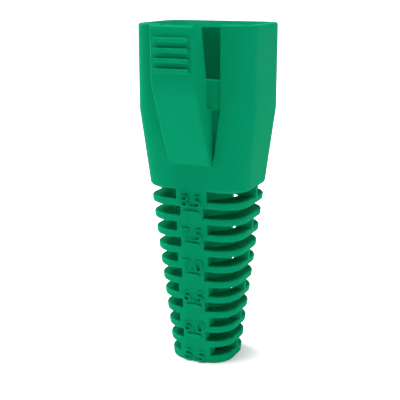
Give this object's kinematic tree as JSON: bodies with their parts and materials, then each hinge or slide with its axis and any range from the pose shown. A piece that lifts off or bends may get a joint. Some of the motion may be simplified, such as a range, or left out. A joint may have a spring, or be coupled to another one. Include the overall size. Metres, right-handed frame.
{
  "type": "rj45 strain relief boot",
  "caption": "Moulded strain relief boot with a release lever over the latch slot and a slotted tapering tail that is cut to the cable's size",
  "frame": {"origin": "on the cable's axis, in the end face of the cable end", "axes": "+Z runs from the cable end to the mouth that takes the plug; -Y is the side with the release lever and the cut marks; X runs across the width"},
  "size_m": [0.014, 0.0148, 0.0393],
  "materials": {
    "boot_plastic": "satin"
  },
  "bodies": {
    "root": {"boot": "boot_plastic"}
  },
  "joints": []
}
